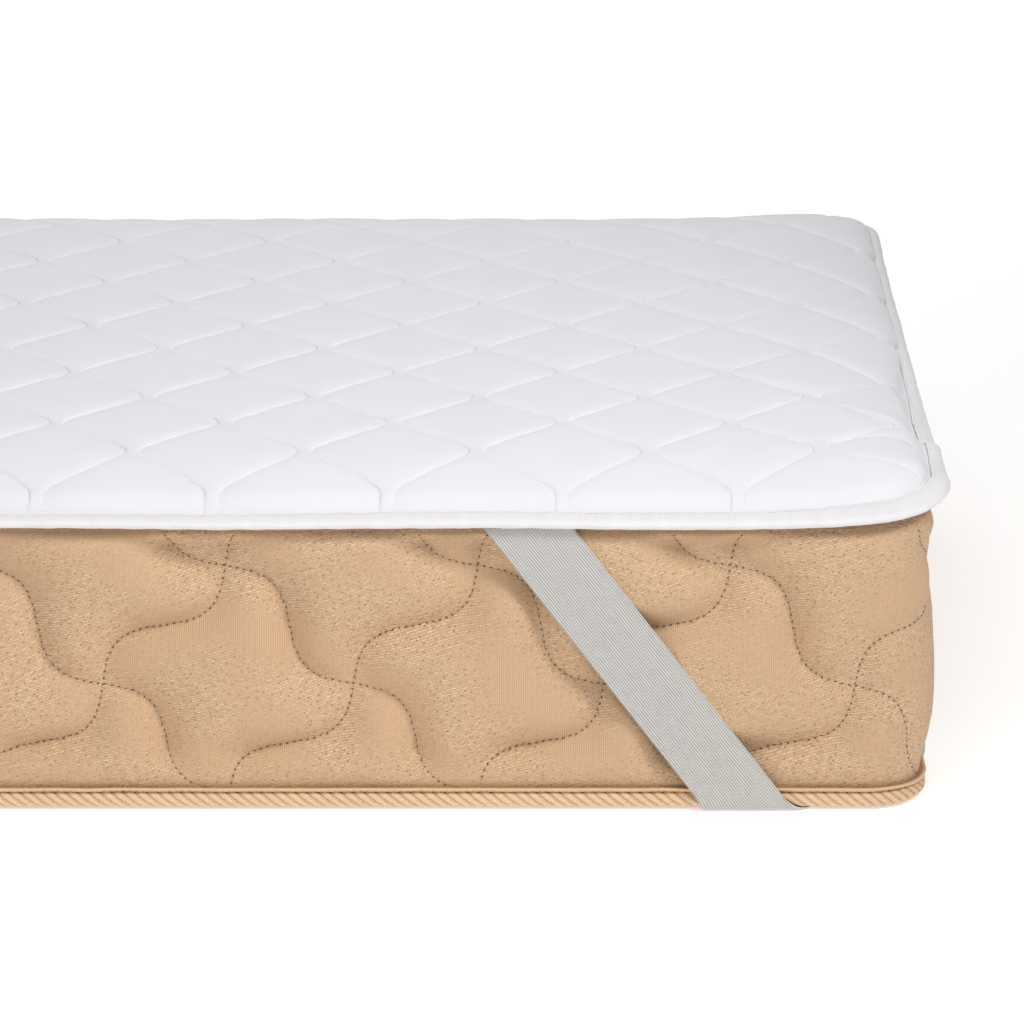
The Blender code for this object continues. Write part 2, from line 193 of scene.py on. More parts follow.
def new_piece(name, points, faces, cloth, material, weld=False):
    """A piece of the model whose points keep their places in the flat cloth."""
    mesh = bpy.data.meshes.new(name)
    mesh.from_pydata(points.reshape(-1, 3).tolist(), [], faces)
    keep_places(mesh, "cloth", cloth)
    mesh.materials.append(material)
    mesh.shade_smooth()
    piece = bpy.data.objects.new(name, mesh)
    bpy.context.scene.collection.objects.link(piece)
    if weld:
        close_seams(mesh)
    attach(piece, "root")
    return piece


def sew(name, patches, material, weld=True):
    """Makes one piece of several grids of points, each with its places in the flat cloth.

    A patch is (points, cloth) or (points, cloth, faces).
    """
    points, cloth, faces, start = [], [], [], 0
    for grid, flat, *given in patches:
        points.append(grid.reshape(-1, 3))
        cloth.append(flat.reshape(-1, 3))
        faces += (given[0] + start if given else grid_faces(*grid.shape[:2], start)).tolist()
        start += len(points[-1])
    return new_piece(name, np.concatenate(points), faces, np.concatenate(cloth), material, weld)


def close_seams(mesh):
    """Joins points that lie on each other and turns the faces outwards."""
    shape = bmesh.new()
    shape.from_mesh(mesh)
    bmesh.ops.remove_doubles(shape, verts=shape.verts, dist=1e-6)
    bmesh.ops.recalc_face_normals(shape, faces=shape.faces)
    shape.to_mesh(mesh)
    shape.free()


# ---- the mattress's edge

ARC = math.pi / 2 * CORNER
TURNS = np.cumsum([0, 2 * CENTRE_X, ARC, 2 * CENTRE_Y, ARC, 2 * CENTRE_X, ARC, 2 * CENTRE_Y, ARC])
TURNS_X = CENTRE_X * np.array([-1, 1, 1, 1, 1, -1, -1, -1, -1])
TURNS_Y = CENTRE_Y * np.array([-1, -1, -1, 1, 1, 1, 1, -1, -1])
TURNS_ANGLE = np.radians([-90, -90, 0, 0, 90, 90, 180, 180, 270])
AROUND = TURNS[-1]


def round_edge(distance, inset):
    """(x, y, outward x, outward y) at a distance round the edge, on the ring at this inset."""
    angle = np.interp(distance, TURNS, TURNS_ANGLE)
    out_x, out_y = np.cos(angle), np.sin(angle)
    radius = np.maximum(CORNER - inset, 0)
    deeper = np.maximum(inset - CORNER, 0)
    x = np.interp(distance, TURNS, TURNS_X) * (1 - deeper / CENTRE_X) + radius * out_x
    y = np.interp(distance, TURNS, TURNS_Y) * (1 - deeper / CENTRE_Y) + radius * out_y
    return x, y, out_x, out_y


def ring(distance, inset, height):
    """Points round the edge, at an inset and a height."""
    x, y = round_edge(distance, inset)[:2]
    return points_of(x, y, height)


def rounded(x, y):
    """Turns square corners into arcs round the mattress's corner centres, ring by ring."""
    across, along = np.abs(x) - CENTRE_X, np.abs(y) - CENTRE_Y
    radius = np.maximum(np.maximum(across, along), 1e-9)
    lesser = np.minimum(across, along) / radius
    angle = math.pi / 4 * np.where(across >= along, lesser, 2 - lesser)
    corner = (across > 0) & (along > 0)
    arc_x = np.copysign(CENTRE_X + radius * np.cos(angle), x)
    arc_y = np.copysign(CENTRE_Y + radius * np.sin(angle), y)
    return np.where(corner, arc_x, x), np.where(corner, arc_y, y)


def inset_of(x, y):
    return np.minimum(HALF_LENGTH - np.abs(x), HALF_WIDTH - np.abs(y))


def fall(inset):
    """1 at the mattress's side and 0 past the falling border of its upper face."""
    return (1 - np.clip(inset, 0, FALL_REACH) / FALL_REACH) ** 3


# ---- materials

ONE_WAVE = 0.314159  # the scale at which a wave texture repeats once a unit


def linear(colour):
    """An sRGB hex colour as linear red, green, blue and alpha."""
    parts = [int(colour[i : i + 2], 16) / 255 for i in (1, 3, 5)]
    return (*(p / 12.92 if p <= 0.04045 else ((p + 0.055) / 1.055) ** 2.4 for p in parts), 1.0)


def add(tree, kind, links, **settings):
    """Adds a node and gives back its outputs.

    links gives its inputs, each a number, an sRGB hex colour or another node's output.
    """
    node = tree.nodes.new("ShaderNode" + kind)
    for name, value in settings.items():
        setattr(node, name, value)
    for name, value in links.items():
        if isinstance(value, bpy.types.NodeSocket):
            tree.links.new(value, node.inputs[name])
        else:
            node.inputs[name].default_value = linear(value) if isinstance(value, str) else value
    return node.outputs


def per(across, along):
    """A mapping's scale that makes one unit of so many millimetres across and along."""
    return 1 / across, 1 / along, 1 / across


def turned(degrees):
    """A mapping's rotation in the plane of the cloth."""
    return 0, 0, math.radians(degrees)


def new_material(name, settings):
    """A material, with settings by the names of its shader's inputs."""
    material = bpy.data.materials.new(name)
    material.use_nodes = True
    for setting, value in settings.items():
        material.node_tree.nodes["Principled BSDF"].inputs[setting].default_value = value
    return material


def new_finish(name, roughness, sheen=0.0, specular=0.5):
    """(material, its node tree, places in the flat cloth in millimetres)."""
    settings = {"Roughness": roughness, "Specular IOR Level": specular, "Sheen Weight": sheen}
    material = new_material(name, {**settings, "Sheen Roughness": 0.5})
    tree = material.node_tree
    cloth = add(tree, "Attribute", {}, attribute_name="cloth")["Vector"]
    millimetres = add(tree, "VectorMath", {0: cloth, "Scale": 1000.0}, operation="SCALE")["Vector"]
    return material, tree, millimetres


def dress(material, colour, relief=None):
    """Gives a material's shader its colour and its relief."""
    tree = material.node_tree
    shader = tree.nodes["Principled BSDF"]
    tree.links.new(colour, shader.inputs["Base Color"])
    if relief:
        tree.links.new(relief, shader.inputs["Normal"])
    return material


def quilted_cotton():
    """Bleached cotton percale over the filling: almost white, matt, lightly creased at a slant."""
    material, tree, places = new_finish("quilted_cotton", 0.82, sheen=0.12, specular=0.25)
    # threads 0.4 mm apart are too fine to show, so they are drawn 0.9 mm apart
    fine = add(tree, "Mapping", {"Vector": places, "Scale": per(0.9, 0.9)})["Vector"]
    thread = {"Vector": fine, "Scale": ONE_WAVE, "Distortion": 1.2}
    warp = add(tree, "TexWave", thread, bands_direction="X")["Fac"]
    weft = add(tree, "TexWave", thread, bands_direction="Y")["Fac"]
    weave = add(tree, "Math", {0: warp, 1: weft}, operation="ADD")["Value"]
    slanted = add(tree, "Mapping", {"Vector": places, "Rotation": turned(24)})["Vector"]
    long = add(tree, "Mapping", {"Vector": slanted, "Scale": per(46, 17)})["Vector"]
    creases = add(tree, "TexNoise", {"Vector": long, "Scale": 1.0, "Detail": 3.0})["Fac"]
    broad = add(tree, "Mapping", {"Vector": places, "Scale": per(60, 60)})["Vector"]
    tint = add(tree, "TexNoise", {"Vector": broad, "Scale": 1.0, "Detail": 2.0})["Fac"]
    colour = add(tree, "Mix", {0: tint, 6: "#F0EEF2", 7: "#F5F3F5"}, data_type="RGBA")[2]
    creased = add(tree, "Bump", {"Height": creases, "Distance": 0.0016, "Strength": 0.3})["Normal"]
    relief = {"Height": weave, "Distance": 0.00008, "Strength": 0.25, "Normal": creased}
    return dress(material, colour, add(tree, "Bump", relief)["Normal"])


def binding_tape():
    """White polyester twill tape: a little brighter than the cotton, with fine ribs across it."""
    material, tree, places = new_finish("binding_tape", 0.70, sheen=0.10, specular=0.35)
    slanted = add(tree, "Mapping", {"Vector": places, "Rotation": turned(32)})["Vector"]
    fine = add(tree, "Mapping", {"Vector": slanted, "Scale": per(1.1, 1.1)})["Vector"]
    twill = {"Vector": fine, "Scale": ONE_WAVE, "Distortion": 0.6}
    ribs = add(tree, "TexWave", twill, bands_direction="X")["Fac"]
    long = add(tree, "Mapping", {"Vector": places, "Scale": per(9, 30)})["Vector"]
    pulls = add(tree, "TexNoise", {"Vector": long, "Scale": 1.0, "Detail": 2.0})["Fac"]
    colour = add(tree, "Mix", {0: pulls, 6: "#EAE8E9", 7: "#F3F1F1"}, data_type="RGBA")[2]
    pulled = add(tree, "Bump", {"Height": pulls, "Distance": 0.0009, "Strength": 0.5})["Normal"]
    relief = {"Height": ribs, "Distance": 0.0001, "Strength": 0.4, "Normal": pulled}
    return dress(material, colour, add(tree, "Bump", relief)["Normal"])


def ribbed_elastic():
    """Grey knitted elastic: rubber cords under polyester stand out as ribs along its length, painted
    lighter on the ribs and darker between them as shade.
    """
    material, tree, places = new_finish("ribbed_elastic", 0.62, sheen=0.08, specular=0.35)
    rib = 1000 * STRAP_WIDTH / RIBS
    wide = add(tree, "Mapping", {"Vector": places, "Scale": per(rib, rib)})["Vector"]
    cords = {"Vector": wide, "Scale": ONE_WAVE, "Distortion": 0.0}
    cords = add(tree, "TexWave", cords, bands_direction="X")["Fac"]
    ribs = add(tree, "MapRange", {"Value": cords, "From Min": 0.15, "From Max": 0.75})["Result"]
    fine = add(tree, "Mapping", {"Vector": places, "Scale": per(1.3, 1.3)})["Vector"]
    rows = {"Vector": fine, "Scale": ONE_WAVE, "Distortion": 0.8}
    knit = add(tree, "TexWave", rows, bands_direction="Y")["Fac"]
    long = add(tree, "Mapping", {"Vector": places, "Scale": per(2.2, 9.0)})["Vector"]
    fuzz = add(tree, "TexNoise", {"Vector": long, "Scale": 1.0, "Detail": 3.0})["Fac"]
    # the grey is painted lighter on the ribs and darker between them, as shade
    light = add(tree, "Mix", {0: fuzz, 6: "#CAC8C4", 7: "#DEDCD9"}, data_type="RGBA")[2]
    painted_rib_shade = add(tree, "Mix", {0: fuzz, 6: "#98948E", 7: "#ADAAA5"}, data_type="RGBA")[2]
    colour = add(tree, "Mix", {0: ribs, 6: painted_rib_shade, 7: light}, data_type="RGBA")[2]
    relief = add(tree, "Bump", {"Height": knit, "Distance": 0.00012, "Strength": 0.4})["Normal"]
    return dress(material, colour, relief)


def tan_ticking():
    """Jacquard ticking: upright satin threads, slanted floats with pinholes, sunk needle lines with a
    little painted shade in them.
    """
    material, tree, places = new_finish("tan_ticking", 0.72, sheen=0.12, specular=0.3)
    # threads 0.3 mm apart are too fine to show, so they are drawn 1.5 mm apart
    fine = add(tree, "Mapping", {"Vector": places, "Scale": per(1.5, 1.5)})["Vector"]
    satin = {"Vector": fine, "Scale": ONE_WAVE, "Distortion": 1.2}
    threads = add(tree, "TexWave", satin, bands_direction="X")["Fac"]

    # areas of about 60 mm where the cloth is figured, with plain ones between them
    slanted = add(tree, "Mapping", {"Vector": places, "Rotation": turned(30)})["Vector"]
    broad = add(tree, "Mapping", {"Vector": slanted, "Scale": per(70, 55)})["Vector"]
    areas = add(tree, "TexNoise", {"Vector": broad, "Scale": 1.0, "Detail": 1.0})["Fac"]
    figured = add(tree, "MapRange", {"Value": areas, "From Min": 0.26, "From Max": 0.56})["Result"]

    # floats of 4.6 mm in rows 1.75 mm apart, some of them slack and dull
    slanted = add(tree, "Mapping", {"Vector": places, "Rotation": turned(-16)})["Vector"]
    bricks = {
        "Vector": slanted,
        "Scale": 1.0,
        "Mortar Size": 0.30,
        "Mortar Smooth": 0.8,
        "Brick Width": 4.6,
        "Row Height": 1.75,
        "Color1": (1, 1, 1, 1),
        "Color2": (0.55, 0.55, 0.55, 1),
        "Mortar": (0, 0, 0, 1),
    }
    floats = add(tree, "TexBrick", bricks, offset=0.37, squash=1.0)["Color"]
    long = add(tree, "Mapping", {"Vector": slanted, "Scale": per(5.0, 1.6)})["Vector"]
    dull = add(tree, "TexNoise", {"Vector": long, "Scale": 1.0, "Detail": 1.0})["Fac"]
    tight = add(tree, "MapRange", {"Value": dull, "From Min": 0.22, "From Max": 0.55})["Result"]
    floats = add(tree, "Math", {0: floats, 1: tight}, operation="MULTIPLY")["Value"]
    floats = add(tree, "Math", {0: floats, 1: figured}, operation="MULTIPLY")["Value"]

    # pinholes about 6 mm apart
    spread = add(tree, "Mapping", {"Vector": slanted, "Scale": per(7.6, 5.4)})["Vector"]
    pins = {"Vector": spread, "Scale": 1.0, "Randomness": 0.85}
    pins = add(tree, "TexVoronoi", pins, voronoi_dimensions="2D")["Distance"]
    holes = add(tree, "MapRange", {"Value": pins, "From Min": 0.15, "From Max": 0.05})["Result"]
    holes = add(tree, "Math", {0: holes, 1: figured}, operation="MULTIPLY")["Value"]

    # needle lines, which lie where needle_lines has a whole number; they are sunk by a bump and painted
    # a little darker, as shade
    lines = add(tree, "Attribute", {}, attribute_name="needle_lines")["Vector"]
    lines = add(tree, "SeparateXYZ", {0: lines})
    sunk = 0.0
    for line in (lines["X"], lines["Y"]):
        off = add(tree, "Math", {0: line, 1: 0.5}, operation="PINGPONG")["Value"]
        near = add(tree, "MapRange", {"Value": off, "From Min": 0.012, "From Max": 0.0})["Result"]
        sunk = add(tree, "Math", {0: sunk, 1: near}, operation="MAXIMUM")["Value"]
    # how much darker the needle lines are painted, as shade
    painted_line_shade = add(tree, "Math", {0: sunk, 1: 0.05}, operation="MULTIPLY")["Value"]
    raised = add(tree, "Math", {0: 1.0, 1: sunk}, operation="SUBTRACT")["Value"]

    plain = add(tree, "Mix", {0: threads, 6: "#BF9B76", 7: "#D9B794"}, data_type="RGBA")[2]
    ground = add(tree, "Mix", {0: threads, 6: "#BA946F", 7: "#C8A47F"}, data_type="RGBA")[2]
    cloth = add(tree, "Mix", {0: figured, 6: plain, 7: ground}, data_type="RGBA")[2]
    colour = add(tree, "Mix", {0: floats, 6: cloth, 7: "#E8C8A4"}, data_type="RGBA")[2]
    colour = add(tree, "Mix", {0: holes, 6: colour, 7: "#A88460"}, data_type="RGBA")[2]
    # painted shade along the needle lines
    colour = add(tree, "Mix", {0: painted_line_shade, 6: colour, 7: "#8A6242"}, data_type="RGBA")[2]

    crease = add(tree, "Bump", {"Height": raised, "Distance": 0.0004, "Strength": 1.0})["Normal"]
    figure = {"Height": floats, "Distance": 0.00045, "Strength": 0.8, "Normal": crease}
    figure = add(tree, "Bump", figure)["Normal"]
    relief = {"Height": threads, "Distance": 0.00012, "Strength": 0.4, "Normal": figure}
    return dress(material, colour, add(tree, "Bump", relief)["Normal"])


def corded_tape():
    """Twisted piping of rayon strands: fine yarns along each strand with painted highlights, and painted
    shade towards each strand's edges, darkest where two strands meet.
    """
    material, tree, places = new_finish("corded_tape", 0.52, sheen=0.10, specular=0.45)
    strand = add(tree, "SeparateXYZ", {0: places})["Z"]
    strand = add(tree, "Math", {0: strand, 1: 0.001}, operation="MULTIPLY")["Value"]  # counts strands
    off = add(tree, "Math", {0: strand, 1: 0.5}, operation="PINGPONG")["Value"]  # 0 where two meet
    across = add(tree, "CombineXYZ", {"X": strand})["Vector"]
    yarns = add(tree, "TexWave", {"Vector": across, "Scale": 3 * ONE_WAVE})["Fac"]  # three a strand
    slanted = add(tree, "Mapping", {"Vector": places, "Rotation": turned(42)})["Vector"]
    long = add(tree, "Mapping", {"Vector": slanted, "Scale": per(9.0, 1.2)})["Vector"]
    fibres = add(tree, "TexNoise", {"Vector": long, "Scale": 1.0, "Detail": 2.0})["Fac"]
    crown = add(tree, "Mix", {0: fibres, 6: "#DFBB92", 7: "#F6D8B1"}, data_type="RGBA")[2]
    # painted shade: each strand is painted darker towards its edges and lighter on its crown
    full = add(tree, "MapRange", {"Value": off, "From Min": 0.04, "From Max": 0.36})["Result"]
    colour = add(tree, "Mix", {0: full, 6: "#CCA378", 7: crown}, data_type="RGBA")[2]
    # painted highlights along the yarns
    painted_highlight = add(tree, "MapRange", {"Value": yarns, "From Min": 0.62, "From Max": 0.95})["Result"]
    painted_highlight = add(tree, "Math", {0: painted_highlight, 1: 0.4}, operation="MULTIPLY")["Value"]
    colour = add(tree, "Mix", {0: painted_highlight, 6: colour, 7: "#FFE6C4"}, data_type="RGBA")[2]
    # painted shade where two strands meet
    painted_groove_shade = add(tree, "MapRange", {"Value": off, "From Min": 0.06, "From Max": 0.0})["Result"]
    colour = add(tree, "Mix", {0: painted_groove_shade, 6: colour, 7: "#B48B61"}, data_type="RGBA")[2]
    relief = add(tree, "Bump", {"Height": yarns, "Distance": 0.0006, "Strength": 0.7})["Normal"]
    return dress(material, colour, relief)


def sewing_thread(name, pale, dark):
    """Spun polyester thread, two-ply: its twist is drawn as slanted bands of painted light and shade."""
    material, tree, places = new_finish(name, 0.6, specular=0.4)
    slanted = add(tree, "Mapping", {"Vector": places, "Rotation": turned(35)})["Vector"]
    fine = add(tree, "Mapping", {"Vector": slanted, "Scale": per(0.7, 0.7)})["Vector"]
    plies = {"Vector": fine, "Scale": ONE_WAVE, "Distortion": 0.0}
    twist = add(tree, "TexWave", plies, bands_direction="X")["Fac"]
    # the plies are painted pale and dark along the twist, as light and shade
    return dress(material, add(tree, "Mix", {0: twist, 6: dark, 7: pale}, data_type="RGBA")[2])


# ---- quilted pad


def rise(x, y):
    """How far the topper stands up: its loose corner, and the ripple along its edge."""
    from_edge = np.maximum(HALF_LENGTH - SLOT_END - x, 0)
    behind_crest = (y - CREST_DEPTH - from_edge) / math.sqrt(2)
    flap = eased((y - FLAP_FRONT) / FLAP_RUN)
    flap = flap * (1 - eased(0.5 + behind_crest / (2 * CREST_WIDTH)))
    flap = flap * np.exp(-((from_edge / FLAP_REACH) ** 2))
    near_edge = np.maximum(0, 1 - np.maximum(inset_of(x, y), 0) / RIPPLE_REACH)
    ripple = 1 + np.sin(math.tau * (x / RIPPLE_ALONG + y / RIPPLE_ACROSS))
    from_back = np.hypot(HALF_LENGTH - x, HALF_WIDTH - y) / BACK_REACH
    back = np.exp(-(from_back**2)) * fall(inset_of(x, y))
    lift = np.exp(-((from_loose_corner(x, y) / LOOSE_REACH) ** 2))
    return FLAP_RISE * flap + RIPPLE * ripple * near_edge + BACK_RISE * back + LOOSE_LIFT * lift


def overhung(x, y):
    """Places moved outwards where the quilt swells over its binding."""
    inset = HALF_LENGTH - x
    share = eased((inset - SLOT_END) / OVERHANG_EDGE)
    share = share * (1 - eased((inset - OVERHANG_START) / OVERHANG_REACH))
    along = eased((y - OVERHANG_FRONT) / OVERHANG_RUN) * eased((HALF_WIDTH - y) / OVERHANG_BACK_RUN)
    return x + OVERHANG * share * along


def sway(y):
    """From 1 at a neck to -1 at the next: straight slants with rounded ends."""
    steps = np.maximum(y - FIRST_NECK, 0) / NECK_STEP % 2
    slant = (1 - 2 * np.minimum(steps, 2 - steps)) / SLANT_SHARE
    reach, limit = np.abs(slant), 1 / SLANT_SHARE
    turned = 1 - (limit - reach) ** 2 / (4 * (limit - 1))
    return np.copysign(np.where(reach > 2 - limit, turned, reach), slant)


def line_x(number, y):
    """Where a needle line lies at this distance from the front."""
    swing = np.where(number % 2 == 0, -1.0, 1.0) * SWAY * sway(y)
    swing = swing + RUN_OUT * (number >= 1) * eased((RUN_OUT_START - y) / RUN_OUT_REACH)
    return np.clip(LINE_ORIGIN + LINE_STEP * number + swing, -LINE_LIMIT, LINE_LIMIT)


def pad_underside(inset):
    return CROWN_TOP + GAP - PAD_FALL * fall(inset)


def folds(x, y):
    """Depth of the soft folds at the loose corner."""
    depth = 0
    for full, width, places in FOLDS:
        nearest = 1e9
        for (x0, y0), (x1, y1) in zip(places, places[1:]):
            run_x, run_y = x1 - x0, y1 - y0
            share = ((x - x0) * run_x + (y - y0) * run_y) / (run_x**2 + run_y**2)
            share = np.clip(share, 0, 1)
            nearest = np.minimum(nearest, np.hypot(x - x0 - share * run_x, y - y0 - share * run_y))
        depth = depth + full * np.exp(-((nearest / width) ** 2))
    return depth


def from_loose_corner(x, y):
    return np.hypot(HALF_LENGTH - x, HALF_WIDTH + y)


def pad_upper(x, y, puff, from_line, number):
    """Height of the quilt's face: puffed between its needle lines and puckered beside them."""
    inset = inset_of(x, y)
    full = PUFF * (1 + FILLING_SHARE * uneven(x, y, FILLING_SIZE, 1)) * puff
    pucker = uneven(y + PUCKER_SHIFT * number, SKEW * from_line, PUCKER_LENGTH, 2)
    pucker = PUCKER_HEIGHT * pucker * np.exp(-from_line / PUCKER_REACH) * (from_line > 0)
    around = np.where(HALF_WIDTH - np.abs(y) < HALF_LENGTH - np.abs(x), x, y)
    near_loose = np.exp(-((from_loose_corner(x, y) / LOOSE_GATHER_REACH) ** 2))
    gather = GATHER_HEIGHT * (1 + LOOSE_GATHER * near_loose)
    gather = gather * uneven(around, SKEW * inset, GATHER_LENGTH, 3)
    gather = gather * np.exp(-np.maximum(inset - SLOT_END, 0) / GATHER_REACH)
    body = pad_underside(inset) + SEAM_THICKNESS + full + pucker + gather - folds(x, y)
    tucked = EDGE_MIDDLE + EDGE_THICKNESS / 2
    shoulder = 1 - (1 - np.clip((inset - SLOT_END) / SHOULDER_REACH, 0, 1)) ** 2
    height = tucked + (body - tucked) * shoulder
    return np.where(inset < 0, EDGE_MIDDLE + RAW_HALF_THICKNESS, height)


def quilt_grid():
    """(x, y, puff, distance from the nearest needle line, its number) of the quilt's face."""
    slot, edge = HALF_WIDTH - SLOT_END, HALF_WIDTH + RAW_EDGE
    inner = np.linspace(-slot, slot, round(2 * slot / ROW_STEP) + 1)
    y = np.array([-edge, *inner, edge])[:, None]
    numbers = np.arange(FIRST_LINE, LAST_LINE + 1)
    lines = line_x(numbers[None, :], y)
    widths = np.diff(lines, axis=1)
    shares = np.array(CHANNEL_SHARES)
    x = lines[:, :-1, None] + widths[:, :, None] * shares
    middle = np.abs(2 * shares - 1)
    profile = 1 - 0.5 * middle**CHANNEL_CROWN - 0.5 * middle**CHANNEL_EDGE
    puff = np.minimum(1, widths / FULL_PUFF_WIDTH)[:, :, None] ** PUFF_POWER * profile
    beside = widths[:, :, None] * np.minimum(shares, 1 - shares)
    nearest = numbers[None, :-1, None] + (shares > 0.5)[None, None, :]
    rows, flat = len(y), np.zeros((len(y), 2))
    puff, beside, nearest = (
        np.hstack([flat, np.broadcast_to(value, x.shape).reshape(rows, -1), flat[:, :1], flat])
        for value in (puff, beside, nearest)
    )
    ends = np.array([HALF_LENGTH - SLOT_END, HALF_LENGTH + RAW_EDGE])
    left, right = np.tile(-ends[::-1], (rows, 1)), np.tile(ends, (rows, 1))
    x = np.hstack([left, x.reshape(rows, -1), lines[:, -1:], right])
    return x, np.broadcast_to(y, x.shape), puff, beside, nearest


def make_quilt(material):
    x, y, puff, beside, number = quilt_grid()
    height = pad_upper(x, y, puff, beside, number)
    round_x, round_y = rounded(x, y)
    face = points_of(overhung(round_x, round_y), round_y, height + rise(round_x, round_y))
    flat = points_of(round_x, round_y, 0)
    distance = edge_distances(round_x, round_y)
    rings = [face_rim(face)]
    for inset, lower in (
        (-RAW_EDGE, EDGE_MIDDLE - RAW_HALF_THICKNESS),
        (SLOT_END, EDGE_MIDDLE - EDGE_THICKNESS / 2),
        *((inset, pad_underside(inset)) for inset in BORDER_INSETS),
    ):
        below = ring(distance, inset, lower)
        rings.append(below + (0, 0, 1) * rise(below[:, :1], below[:, 1:2]))
    underside = looped(np.stack(rings), axis=1)
    middle = np.arange(len(distance))[None, ::-1]
    patches = [
        (face, flat),
        (underside, underside * (1, 1, 0)),
        (rings[-1], rings[-1] * (1, 1, 0), middle),
    ]
    quilt = sew("topper_quilt", patches, material)
    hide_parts("topper_pad")


def face_rim(face):
    """The outermost points of the quilt's face, once round from its front left corner."""
    return np.concatenate([face[0, :-1], face[:-1, -1], face[-1, :0:-1], face[:0:-1, 0]])


def edge_distances(round_x, round_y):
    """Distances round the edge of the face's outermost points."""
    rim = face_rim(points_of(round_x, round_y))
    across, along = np.abs(rim[:, 0]) - CENTRE_X, np.abs(rim[:, 1]) - CENTRE_Y
    angle = np.arctan2(
        np.sign(rim[:, 1]) * np.where(along > 0, along, 0),
        np.sign(rim[:, 0]) * np.where(across > 0, across, 0),
    )
    angle = np.where(angle < -math.pi / 2 - 1e-9, angle + math.tau, angle)
    on_arc = np.interp(angle, TURNS_ANGLE + np.arange(9) * 1e-9, TURNS)
    front = (across <= 0) & (rim[:, 1] < 0)
    right = (along <= 0) & (rim[:, 0] > 0)
    back = (across <= 0) & (rim[:, 1] > 0)
    left = (along <= 0) & (rim[:, 0] < 0)
    places = (
        rim[:, 0] + CENTRE_X,
        TURNS[2] + rim[:, 1] + CENTRE_Y,
        TURNS[4] + CENTRE_X - rim[:, 0],
        TURNS[6] + CENTRE_Y - rim[:, 1],
    )
    return np.select((front, right, back, left), places, on_arc)


# ---- stitches

THREAD_STEP = 0.004  # of thread from one stitch to the next
STITCH_SHAPE = np.array(
    [
        (-0.50, 0.0, -0.5),
        *((-0.26, math.cos(a) / 2, math.sin(a) / 2) for a in np.arange(4) * math.pi / 2),
        *((0.26, math.cos(a) / 2, math.sin(a) / 2) for a in np.arange(4) * math.pi / 2),
        (0.50, 0.0, -0.5),
    ]
)


def spaced(path, out, pitch):
    """(middles, directions, outward directions) of stitches at even steps along a path."""
    steps = np.linalg.norm(np.diff(path, axis=0), axis=1)
    run = np.concatenate([[0], np.cumsum(steps)])
    count = int(run[-1] / pitch)
    if count < 1:
        return np.zeros((0, 3)), np.zeros((0, 3)), np.zeros((0, 3))
    at = (np.arange(count) + 0.5) * pitch

    def sample(values, where):
        return np.stack([np.interp(where, run, values[:, i]) for i in range(3)], axis=-1)

    ahead = sample(path, at + pitch / 3) - sample(path, at - pitch / 3)
    ahead /= np.linalg.norm(ahead, axis=1)[:, None]
    return sample(path, at), ahead, sample(out, at)


def sew_stitches(name, seams, stitch, material):
    """A piece of short rounded stitches along seams, each a path and its outward directions."""
    pitch, size = stitch
    runs = [spaced(path, out, pitch) for path, out in seams]
    middles, ahead, out = (np.concatenate(part) for part in zip(*runs))
    side = np.cross(out, ahead)
    side /= np.linalg.norm(side, axis=1)[:, None]
    axes = (ahead * size[0], side * size[1], np.cross(ahead, side) * size[2])
    points = middles[:, None, :] + sum(
        STITCH_SHAPE[None, :, i, None] * axis[:, None, :] for i, axis in enumerate(axes)
    )
    turns = [(i, (i + 1) % 4) for i in range(4)]
    quads = [(1 + a, 1 + b, 5 + b, 5 + a) for a, b in turns]
    ends = [(0, 1 + b, 1 + a) for a, b in turns] + [(9, 5 + a, 5 + b) for a, b in turns]
    starts = (np.arange(len(middles)) * len(STITCH_SHAPE))[:, None, None]
    faces = (starts + np.array(quads)).reshape(-1, 4).tolist()
    faces += (starts + np.array(ends)).reshape(-1, 3).tolist()
    lengthwise = np.arange(len(middles))[:, None] * THREAD_STEP + STITCH_SHAPE[None, :, 0] * size[0]
    cloth = points_of(lengthwise, STITCH_SHAPE[None, :, 1] * size[1], 0)
    new_piece(name, points, faces, cloth, material)


def make_quilting_stitches(material):
    margin, step, clear, fewest = 0.002, 0.001, 0.0004, 8
    y = np.arange(-HALF_WIDTH + SLOT_END + margin, HALF_WIDTH - SLOT_END - margin, step)
    seams = []
    for number in range(FIRST_LINE, LAST_LINE + 1):
        x = line_x(np.array(number), y)
        sewn = np.abs(x) < LINE_LIMIT - clear
        for part in np.split(np.arange(len(y)), np.flatnonzero(np.diff(sewn.astype(int))) + 1):
            if len(part) < fewest or not sewn[part[0]]:
                continue
            px, py = x[part], y[part]
            height = pad_upper(px, py, 0, np.zeros(len(px)), number)
            px, py = rounded(px, py)
            path = points_of(overhung(px, py), py, height + rise(px, py) + STITCH_LIFT)
            seams.append((path, np.tile((0.0, 0.0, 1.0), (len(px), 1))))
    sew_stitches("topper_quilting_stitches", seams, QUILTING_STITCH, material)


# ---- binding

BINDING_OUTER = (  # inset, height over the middle of the edge, from the tape's edge to its fold
    (0.0010, 0.0034),
    (0.0008, 0.0040),
    (0.0002, 0.0043),
    (-0.0006, 0.0040),
    (-0.0014, 0.0043),
    (-0.0032, 0.0044),
    (-0.0050, 0.0040),
    (-0.0066, 0.0034),
    (-0.0078, 0.0025),
    (-0.0086, 0.0013),
    (-0.0090, 0.0),
)
BINDING_INNER = (
    (0.0008, 0.0030),
    (-0.0030, 0.0030),
    (-0.0062, 0.0020),
    (-0.0078, 0.0),
)
BINDING_STEP = 0.0044  # of its points, round the edge
BINDING_SEAM_INSET, BINDING_SEAM_HEIGHT = -0.0006, 0.0042

